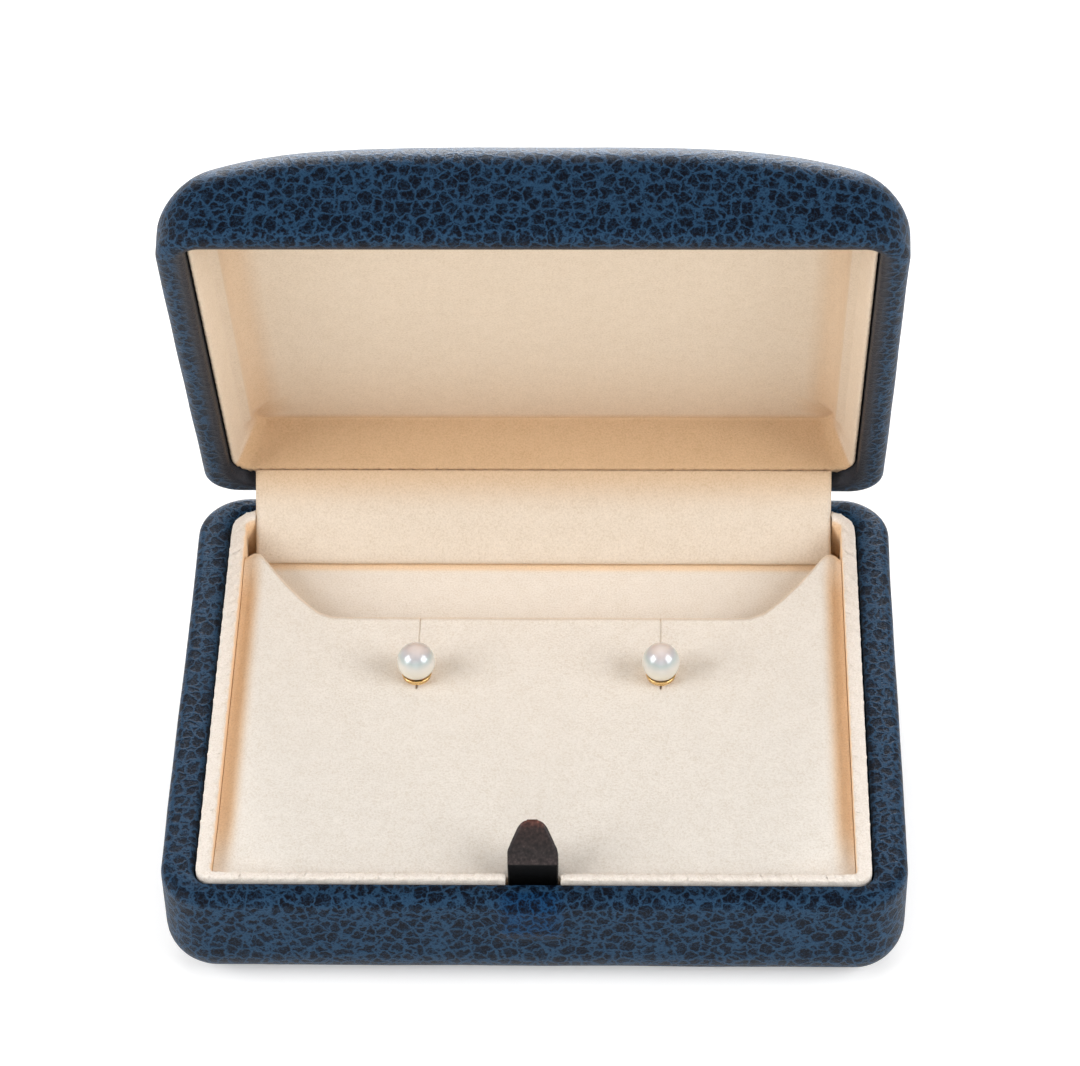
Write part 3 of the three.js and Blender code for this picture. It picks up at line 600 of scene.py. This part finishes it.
def spaced(line, step):
    """A closed line of points walked again at an even step."""
    closed = np.vstack([line, line[:1]])
    walk = np.concatenate([[0.0], np.cumsum(np.linalg.norm(np.diff(closed, axis=0), axis=1))])
    at = np.linspace(0.0, walk[-1], int(walk[-1] / step), endpoint=False)
    return np.column_stack([np.interp(at, walk, closed[:, 0]), np.interp(at, walk, closed[:, 1])])


def arc(cx, cy, r, start, stop, steps=9):
    """Points of an arc, its angles in half turns."""
    a = np.linspace(start, stop, steps) * math.pi
    return np.column_stack([cx + r * np.cos(a), cy + r * np.sin(a)])


def runs(pieces, counts):
    """Straight runs and arcs walked in the given numbers of steps, one after the other."""
    rows = []
    for piece, count in zip(pieces, counts):
        t = np.linspace(0.0, 1.0, count, endpoint=False)
        at = np.linspace(0.0, 1.0, len(piece))
        piece = np.asarray(piece, float)
        rows.append(np.column_stack([np.interp(t, at, piece[:, 0]), np.interp(t, at, piece[:, 1])]))
    return np.vstack([*rows, np.asarray(pieces[-1][-1:], float)])


def collar_rings(side, props):
    """One side of the collar: an upright section with a rounded top, swept from the catch along the
    front, round the corner, along the side and into the back corner. Its outer and inner foot lines are
    walked in step, and each point of the section lies between them by a share. The second array marks
    painted warm shade on its inner face."""
    ox, oy, ix, iy = COLLAR_X, COLLAR_Y, COLLAR_X - 2.0, -(COLLAR_Y - 1.2)
    front_r, back_r, inner_r = 1.9, 4.3, 0.8
    stop = math.acos((COLLAR_END - ox + back_r) / back_r) / math.pi
    counts = (190, 12, 330, 12)
    corner = arc(ox - front_r, -oy + front_r, front_r, -0.5, 0.0)
    back = arc(ox - back_r, oy - back_r, back_r, 0.0, stop)
    outer = runs([[(CATCH_GAP, -oy), corner[0]], corner, [corner[-1], back[0]], back], counts)
    turn = arc(ix - inner_r, iy + inner_r, inner_r, -0.5, 0.0)
    inner = runs([[(CATCH_GAP, iy), turn[0]], turn, [turn[-1], (ix, oy - 2.85)],
                  [(ix, oy - 2.85), (COLLAR_END, oy - 2.0)]], counts)
    top = BASE_H + 0.6
    bend = np.linspace(0.0, 0.5 * math.pi, 6)
    section = [(0.0, z) for z in (2.3, 8.0, 14.0, 16.4)]
    section += [(0.26 * (1 - math.cos(a)), top - 0.42 * (1 - math.sin(a))) for a in bend]
    section += [(0.5, top + 0.03)]
    section += [(1 - s, z) for s, z in section[-2::-1]]
    rows = [np.column_stack([outer + (inner - outer) * s, np.full(len(outer), z)]) for s, z in section]
    pts = np.stack(rows, 1)
    high = smooth((pts[..., 2] - top + 0.5) / 0.4)
    pts[..., 2] += props.nap / MM * 0.7 * high * wave(pts, 0.3, 1.9)
    pts[..., :2] += props.nap / MM * 1.4 * (high * wave(pts, 0.36, 0.6))[..., None]
    share, height = np.array(section).T
    # Painted shade on the inner face beside the pad's valley.
    inner_face = smooth((share - 0.6) / 0.3) * smooth((top - 0.1 - height) / 0.5)
    warm = np.broadcast_to(0.95 * inner_face, pts.shape[:2])
    return pts * np.array([float(side), 1.0, 1.0]), warm


def dense(low, high, count, spots, gain, width):
    """Places from low to high whose density rises by gain, in a bell of some width, at each spot."""
    x = np.linspace(low, high, 4001)
    weight = 1.0 + sum(gain * np.exp(-((x - spot) / width) ** 2) for spot in spots)
    walk = np.concatenate([[0.0], np.cumsum(0.5 * (weight[1:] + weight[:-1]))])
    return np.interp(np.linspace(0.0, walk[-1], count), walk, x)


def pad_back(x):
    """Where the pad ends behind at each x: straight across the middle, then a bay's shoulder, a slanting
    edge and a rounded tip beside the collar."""
    bend = ((0.0, 15.0), (26.5, 15.0), (29.7, 15.1), (31.8, 16.1), (34.5, 19.0), (36.8, 21.9),
            (38.9, 25.0), (40.3, 27.2), (40.9, 27.9), (41.6, 28.1), (42.3, 27.7), (TRAY_X, 26.8))
    along, back = zip(*bend)
    return np.interp(np.abs(x), along, back)


def pad_loops(props):
    """The pad as upright slices across X, each a closed loop: its top from front to back, its back edge,
    its underside and its front edge. The top is level in the middle, falls in a level-ended ramp over
    its rolled sides and a narrow lip along front and back, and has the dimple that each stud presses,
    the slit behind each post, a dip in each front corner and a slow unevenness."""
    roll, drop = props.pad_roll / MM, props.pad_drop / MM
    x = dense(-TRAY_X, TRAY_X, 320, (-TRAY_X, -STUD_X, STUD_X, TRAY_X), 5.0, 1.3)[:, None]
    share = dense(0.0, 1.0, 150, (0.0, 1.0), 3.0, 0.03)[None, :]
    back = pad_back(x)
    y = TRAY_FRONT + share * (back - TRAY_FRONT)
    x = np.broadcast_to(x, y.shape)
    side = 1.0 - smooth((TRAY_X - np.abs(x)) / roll)
    narrow = (0.45 + 0.55 * smooth((y + 36.0) / 16.0)) * (1.0 - 0.5 * smooth((y - 19.0) / 8.0))
    lip = 1.0 - smooth((back - y) / 1.1)
    front = 1.0 - smooth((y - TRAY_FRONT) / 0.8)
    z = PAD_TOP - drop * narrow * side - 0.5 * lip * (1.0 - side) - 0.25 * front
    place = np.stack([x, y, z], -1)
    for sx in (-1, 1):
        away = np.hypot(x - sx * STUD_X, y - STUD_Y)
        z = z - 0.15 * np.exp(-(away / 3.0) ** 2)
        slit = np.exp(-((x - sx * STUD_X) / 0.11) ** 2) * smooth((y - STUD_Y + 2.1) / 0.2)
        z = z - (0.22 + 0.5 * smooth((STUD_Y - y) / 1.0)) * slit
        z = z - 0.55 * np.exp(-(((x - sx * 38.3) / 3.2) ** 2 + ((y + 32.4) / 1.8) ** 2))
    place[..., 2] = z + 0.07 * wave(place, 6.5, 0.2) + 0.03 * wave(place, 1.9, 1.1)
    # Painted shade in the rolled side valleys, fainter towards the front, and along the back lip.
    warm = 0.8 * smooth(side * 1.5) * narrow * (0.35 + 0.65 * smooth((y + 33.5) / 9.0)) + 0.25 * lip
    floor = PAD_TOP - 5.1
    shares = np.linspace(1.0, 0.0, 5)[1:]

    def upright(edge, shares):
        """The points under an edge of the top, at shares of its height over the underside."""
        down = np.broadcast_to(edge, (len(edge), len(shares), 3)).copy()
        down[..., 2] = floor + (edge[..., 2] - floor) * shares
        return down

    behind, ahead = upright(place[:, -1:], shares), upright(place[:, :1], shares[::-1])
    loops = np.concatenate([place, behind, ahead], 1)
    # Painted shade on the pad's upright edges.
    tint = np.concatenate([warm, np.full((len(x), 2 * len(shares)), 0.8)], 1)
    return loops, tint


def ledge_rings():
    """The block under the pad, whose back part shows as the low ledge: an upright wall with rounded
    corners and a slightly uneven top. The second array marks painted warm shade along the strip's crease
    and a painted shadow along the pad."""
    r, foot = 0.8, 2.3
    x, front, back = TRAY_X - r, TRAY_FRONT + r, 33.2 - r
    line = spaced(np.vstack([arc(x, front, r, -0.5, 0.0), arc(x, back, r, 0.0, 0.5),
                             arc(-x, back, r, 0.5, 1.0), arc(-x, front, r, 1.0, 1.5)]), 0.6)
    walls = [ring(line, z) for z in (foot, 8.0, LEDGE_TOP - 0.2)]
    top = np.stack([ring(line * s, LEDGE_TOP) for s in np.linspace(0.998, 0.0, 60)])
    top[..., 2] += 0.05 * wave(top, 5.0, 2.7)
    pole = inwards(walls[0], np.array([0.0, 0.0, foot]), (0.0,))
    pts = np.stack([*pole, *walls, *top])
    # Painted shade along the strip's crease and a painted shadow just behind the pad's back edge.
    warm = 0.85 * smooth((pts[..., 1] - 28.9) / 1.2) + 0.3 * smooth((17.2 - pts[..., 1]) / 2.0)
    return list(pts), warm


def strip_grid(props):
    """The hinge strip as a sheet with thickness: a curve in the middle plane from the ledge's back up to
    the lining's edge, swept along X, its ends a little wavy, its crease softly rounded. The second
    array marks painted warm shade at the crease and towards the upper edge, under the lid."""
    t = props.strip / MM
    knots = np.array([(33.0, LEDGE_TOP + 0.38), (31.6, LEDGE_TOP + 0.4), (30.6, LEDGE_TOP + 0.48),
                      (30.42, LEDGE_TOP + 0.85), (31.1, 13.4), (33.2, 16.2), (35.3, 18.75), (37.2, 21.1),
                      (38.1, 21.9), (38.8, 22.47)])
    chord = np.concatenate([[0.0], np.cumsum(np.linalg.norm(np.diff(knots, axis=0), axis=1))])
    at = np.linspace(0.0, chord[-1], 44)
    y, z = np.interp(at, chord, knots[:, 0]), np.interp(at, chord, knots[:, 1])
    kernel = np.array([1, 2, 3, 2, 1], float) / 9.0
    y[2:-2], z[2:-2] = np.convolve(y, kernel, "valid"), np.convolve(z, kernel, "valid")
    dy, dz = np.gradient(y), np.gradient(z)
    size = np.hypot(dy, dz)
    ny, nz = -dz / size, dy / size
    x = np.linspace(-STRIP_X, STRIP_X, 150)
    share = at / chord[-1]
    faces = []
    for half in (t / 2, -t / 2):
        face = np.empty((len(y), len(x), 3))
        face[..., 0] = x
        face[..., 1] = (y + half * ny)[:, None]
        face[..., 2] = (z + half * nz)[:, None]
        sag = 0.10 * wave(face, 7.0, 0.9) * np.sin(math.pi * share)[:, None]
        face[..., 1] += sag
        face[..., 0] += 0.12 * np.sin(at / 2.1)[:, None] * (x / STRIP_X) ** 9
        faces.append(face)
    loop = np.concatenate([faces[0], faces[1][::-1]], 0)
    # Painted shade: warmer towards the upper edge under the lid and at the crease.
    tint = 0.75 * smooth((share - 0.55) / 0.45) ** 1.3 + 0.5 * smooth(1.0 - share * 7.0)
    tint = np.broadcast_to(np.concatenate([tint, tint[::-1]])[:, None], loop.shape[:2])
    return loop.transpose(1, 0, 2), tint.T


def pearl_rings(props, x, wide, tall):
    """A pearl: a sphere of rings about Z, wider and taller by two factors, with a shallow unevenness, and
    its drilled hole for the peg."""
    radius, bore, depth = props.pearl / MM, 0.47, 1.52
    turn = np.linspace(0.0, 2 * math.pi, 96, endpoint=False)
    circle = np.column_stack([np.cos(turn), np.sin(turn)])
    centre = np.array([x, STUD_Y, PEARL_Z])
    rings = [centre + ring(circle * r, z) for r, z in ((0.0, depth - radius), (bore, depth - radius),
                                                       (bore, -0.9 * radius))]
    for a in np.linspace(math.asin(bore / radius), math.pi, 64):
        skin = ring(circle * radius * wide * math.sin(a), -radius * tall * math.cos(a))
        rings.append(centre + skin * (1 + 0.004 * wave(skin, 2.2, x)[:, None]))
    return rings


def setting_rings(props, x):
    """The gold below a pearl as one turned skin, by radius and height over the pad: the post up from its
    rounded end, the cup's underside, its rim with a narrow groove, the hollow that the pearl sits in,
    and the peg."""
    seat = props.pearl / MM + 0.12
    wide = props.cup / MM
    low = PEARL_Z - PAD_TOP

    def seat_at(r):
        """The height of the hollow, a sphere a little larger than the pearl."""
        return low - math.sqrt(seat ** 2 - r ** 2)

    post, peg, rim, tip = 0.4, 0.35, seat_at(wide), seat_at(0) + 1.4
    profile = [(0.0, -10.0), (0.2, -10.0), (0.34, -9.88), (post, -9.6), (post, -5.0), (post, 0.1),
               (0.9, 0.1)]
    profile += [(wide + r, z) for r, z in ((-0.5, 0.16), (-0.18, 0.3), (-0.02, 0.46), (0.03, 0.56),
                                           (-0.05, 0.62), (-0.04, 0.66), (0.06, 0.7), (0.11, rim - 0.09),
                                           (0.1, rim - 0.02), (0.05, rim + 0.02), (-0.02, rim))]
    profile += [(r, seat_at(r)) for r in (wide - 0.3, wide - 0.7, wide - 1.1, 0.6, peg)]
    profile += [(peg, tip - 0.1), (peg - 0.07, tip), (0.0, tip)]
    turn = np.linspace(0.0, 2 * math.pi, 72, endpoint=False)
    circle = np.column_stack([np.cos(turn), np.sin(turn)])
    return [ring(np.array([x, STUD_Y]) + circle * r, PAD_TOP + z) for r, z in profile]


def catch_width(share):
    """The catch's width, as a share of its full one, at a share of the way from its ridge to its tip."""
    stops = ((0.0, 1.0), (0.28, 1.0), (0.34, 0.965), (0.56, 0.80), (0.68, 0.70), (0.8, 0.60),
             (0.865, 0.53), (0.92, 0.46), (0.96, 0.385), (0.985, 0.31), (1.0, 0.22))
    return np.interp(share, *zip(*stops))


def catch_rings():
    """The catch: upright sides, a sharp ridge across the front, and above it a ramp that leans back and
    tapers to a rounded tip. Every level is a rounded trapezium, narrower behind, so that both its edges
    follow one outline. The second array is the share of the way from the ridge to the tip."""
    ridge, rise, lean, depth = BASE_H + 2.9, 5.6, 2.5, 3.2
    levels = [8.3, 12.0, 16.0, 18.0, 19.0, ridge - 0.12, ridge]
    levels += [ridge + rise * (0.02 + 0.98 * math.sin(a)) for a in np.linspace(0.0, 0.5 * math.pi, 26)]
    rings = []
    for z in levels:
        up = (z - ridge) / rise
        over = max(up, 0.0)
        front = CATCH_Y + lean * (over + 0.12 * over ** 6)
        back = CATCH_Y + depth - 0.5 * max(0.0, over - 0.8)
        ahead, behind = CATCH_HALF * catch_width(over), CATCH_HALF * catch_width(0.366 + 0.66 * up)
        r = min(0.25 + 0.3 * over, 0.45 * (back - front), 0.9 * behind)
        corners = [(-ahead + r, front + r, 1.0), (ahead - r, front + r, 1.5), (behind - r, back - r, 0.0),
                   (-behind + r, back - r, 0.5)]
        rings.append(ring(np.vstack([arc(cx, cy, r, s, s + 0.5, 6) for cx, cy, s in corners]), z))
    first, last = rings[0], rings[-1]
    rings = inwards(first, first.mean(0), (0.0,)) + rings + inwards(last, last.mean(0), (0.5, 0.0))
    height = np.stack(rings)[..., 2]
    return rings, np.clip((height - ridge + 0.02) / rise, 0.0, 1.0)


def stage_lights():
    """Soft boxes left, right, in front and behind, a large one overhead, and a surround that is bright at
    the horizon."""
    world = bpy.data.worlds.new("surround")
    bpy.context.scene.world = world
    world.use_nodes = True
    tree = world.node_tree
    back = tree.nodes["Background"]
    way = tree.nodes.new("ShaderNodeTexCoord").outputs["Generated"]
    split = tree.nodes.new("ShaderNodeSeparateXYZ")
    tree.links.new(way, split.inputs[0])
    ramp = tree.nodes.new("ShaderNodeValToRGB")
    tree.links.new(split.outputs["Z"], ramp.inputs[0])
    low, high = ramp.color_ramp.elements
    low.position, low.color = 0.2, (1.0, 1.0, 1.0, 1.0)
    high.position, high.color = 0.6, (0.16, 0.16, 0.165, 1.0)
    tree.links.new(ramp.outputs[0], back.inputs[0])
    back.inputs[1].default_value = 0.6
    target = Vector((0.0, 0.0, 0.02))
    for name, place, size, power in (("key_left", (-0.62, -0.26, 0.44), 0.5, 4.6),
                                     ("key_right", (0.62, -0.26, 0.44), 0.5, 4.6),
                                     ("overhead", (0.0, 0.12, 0.9), 0.7, 0.9),
                                     ("front", (0.0, -0.75, 0.42), 0.6, 1.05),
                                     ("behind", (0.0, 1.3, 0.34), 0.8, 34.0)):
        data = bpy.data.lights.new(name, "AREA")
        data.shape = "SQUARE"
        data.size = size
        data.energy = power
        data.color = COOL_LIGHT
        lamp = bpy.data.objects.new(name, data)
        bpy.context.scene.collection.objects.link(lamp)
        lamp.location = place
        lamp.rotation_euler = (target - lamp.location).to_track_quat("-Z", "Y").to_euler()


def stage_camera():
    """The camera fitted to the photograph."""
    yaw, pitch, roll = math.radians(-2.08), math.radians(44.13), math.radians(-1.32)
    forward = Vector((math.sin(yaw) * math.cos(pitch), math.cos(yaw) * math.cos(pitch), -math.sin(pitch)))
    right = Vector((math.cos(yaw), -math.sin(yaw), 0.0))
    up = right.cross(forward)
    c, s = math.cos(roll), math.sin(roll)
    right, up = right * c + up * s, up * c - right * s
    data = bpy.data.cameras.new("camera")
    data.sensor_width = 36.0
    data.sensor_fit = "HORIZONTAL"
    data.lens = 135.84
    data.clip_start = 0.01
    camera = bpy.data.objects.new("camera", data)
    bpy.context.scene.collection.objects.link(camera)
    place = Vector((0.00073, 0.0, 0.04753)) - forward * 0.5463
    basis = Matrix((right, up, -forward)).transposed().to_4x4()
    camera.matrix_world = Matrix.Translation(place) @ basis
    bpy.context.scene.camera = camera


class BOX_OT_leather(bpy.types.Operator):
    """Builds the leatherette skins of the base and the lid."""

    bl_idname = "jewel_box.leather"
    bl_label = "Leather shells"

    def execute(self, context):
        props = context.scene.box_leather
        material = leather_material("leatherette", props)
        rings, mark = base_skin(props)
        base = loft("base_leather", rings, material, mark)
        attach(base, "base")
        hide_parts("base_shell")
        rings, turned = lid_skin(props)
        lid = loft("lid_leather", rings, material, turned)
        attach(lid, "lid")
        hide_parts("lid_shell")
        return {"FINISHED"}


class BOX_OT_suede(bpy.types.Operator):
    """Builds the lid's lining, the collar, the pad, the ledge and the hinge strip."""

    bl_idname = "jewel_box.suede"
    bl_label = "Suede pieces"

    def execute(self, context):
        props = context.scene.box_suede
        # A brighter orange painted shade for the collar's inner face and the pad's valleys and lip.
        bright_painted_shade = (1.09, 0.85, 0.58)
        tan = suede_material("suede_tan", props.lining_colour)
        warm = suede_material("suede_warm", props.strip_colour)
        cream = suede_material("suede_cream", props.collar_colour, bright_painted_shade)
        pale = suede_material("suede_pale", props.pad_colour, bright_painted_shade)
        rings, tint = lining_skin(props)
        lining = loft("lid_suede", rings, tan, tint)
        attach(lining, "lid")
        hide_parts("lid_lining")
        for side, end in ((-1, "left"), (1, "right")):
            rings, tint = collar_rings(side, props)
            collar = sweep("collar_suede_" + end, rings, cream, tint)
            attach(collar, "base")
            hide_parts("collar_" + end)
        loops, tint = pad_loops(props)
        pad = sweep("pad_suede", loops, pale, tint)
        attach(pad, "base")
        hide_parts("pad")
        rings, tint = ledge_rings()
        ledge = loft("ledge_suede", rings, pale, tint)
        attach(ledge, "base")
        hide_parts("insert_block")
        loops, tint = strip_grid(props)
        strip = sweep("hinge_suede", loops, warm, tint)
        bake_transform(strip)
        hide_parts("hinge_strip")
        return {"FINISHED"}


class BOX_OT_studs(bpy.types.Operator):
    """Gives the pearls, the gold and the catch their materials."""

    bl_idname = "jewel_box.studs"
    bl_label = "Studs and catch"

    def execute(self, context):
        props = context.scene.box_studs
        gold, nacre = gold_material("gold", props.gold), pearl_material("nacre", props)
        plastic = catch_material("catch_plastic", props.catch)
        for name in ("ear_nut_left", "ear_nut_right"):
            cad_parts[name].data.materials.clear()
            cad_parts[name].data.materials.append(gold)
        for side, end, wide, tall in ((-1, "left", 0.96, 0.985), (1, "right", 0.945, 1.03)):
            pearl = loft("pearl_" + end + "_nacre", pearl_rings(props, side * STUD_X, wide, tall), nacre)
            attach(pearl, "base")
            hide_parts("pearl_" + end)
            setting = loft("setting_" + end + "_gold", setting_rings(props, side * STUD_X), gold)
            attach(setting, "base")
            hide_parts("setting_" + end)
        rings, rise = catch_rings()
        catch = loft("catch_dark", rings, plastic, rise)
        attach(catch, "base")
        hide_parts("catch_tongue")
        return {"FINISHED"}


class BOX_OT_stage(bpy.types.Operator):
    """Lays the pale floor and sets the lights, the camera and the picture's tone."""

    bl_idname = "jewel_box.stage"
    bl_label = "Stage"

    def execute(self, context):
        corners = 3000.0 * np.array([(-1, -1, 0), (1, -1, 0), (1, 1, 0), (-1, 1, 0)])
        floor = mesh_object("floor", corners, [(0, 1, 2, 3)], floor_material("floor_paper"),
                            smooth_shade=False)
        stage_lights()
        stage_camera()
        context.scene.view_settings.view_transform = "Standard"
        return {"FINISHED"}


class BOX_PT_panel(bpy.types.Panel):
    """The sidebar panel of the jewellery box."""

    bl_idname = "BOX_PT_panel"
    bl_label = "Jewellery box"
    bl_space_type = "VIEW_3D"
    bl_region_type = "UI"
    bl_category = "Jewellery box"

    def draw(self, context):
        for group in (context.scene.box_leather, context.scene.box_suede, context.scene.box_studs):
            for key in group.__annotations__:
                self.layout.prop(group, key)
        for operator in OPERATORS:
            self.layout.operator(operator.bl_idname)


OPERATORS = (BOX_OT_leather, BOX_OT_suede, BOX_OT_studs, BOX_OT_stage)
GROUPS = {"box_leather": BoxLeather, "box_suede": BoxSuede, "box_studs": Studs}


def register():
    """Registers the classes and gives the scene its property groups."""
    for cls in (*GROUPS.values(), *OPERATORS, BOX_PT_panel):
        bpy.utils.register_class(cls)
    for name, cls in GROUPS.items():
        setattr(bpy.types.Scene, name, bpy.props.PointerProperty(type=cls))


def unregister():
    """Takes back what register added."""
    for name in GROUPS:
        delattr(bpy.types.Scene, name)
    for cls in (BOX_PT_panel, *OPERATORS[::-1], *tuple(GROUPS.values())[::-1]):
        bpy.utils.unregister_class(cls)


def plain(bounds):
    """A box as plain lists of numbers."""
    return [[float(v) for v in corner] for corner in bounds]


def main():
    """Builds every piece."""
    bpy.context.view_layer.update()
    register()
    bpy.ops.jewel_box.leather()
    bpy.ops.jewel_box.suede()
    bpy.ops.jewel_box.studs()
    bpy.ops.jewel_box.stage()


if __name__ == "__main__":
    main()
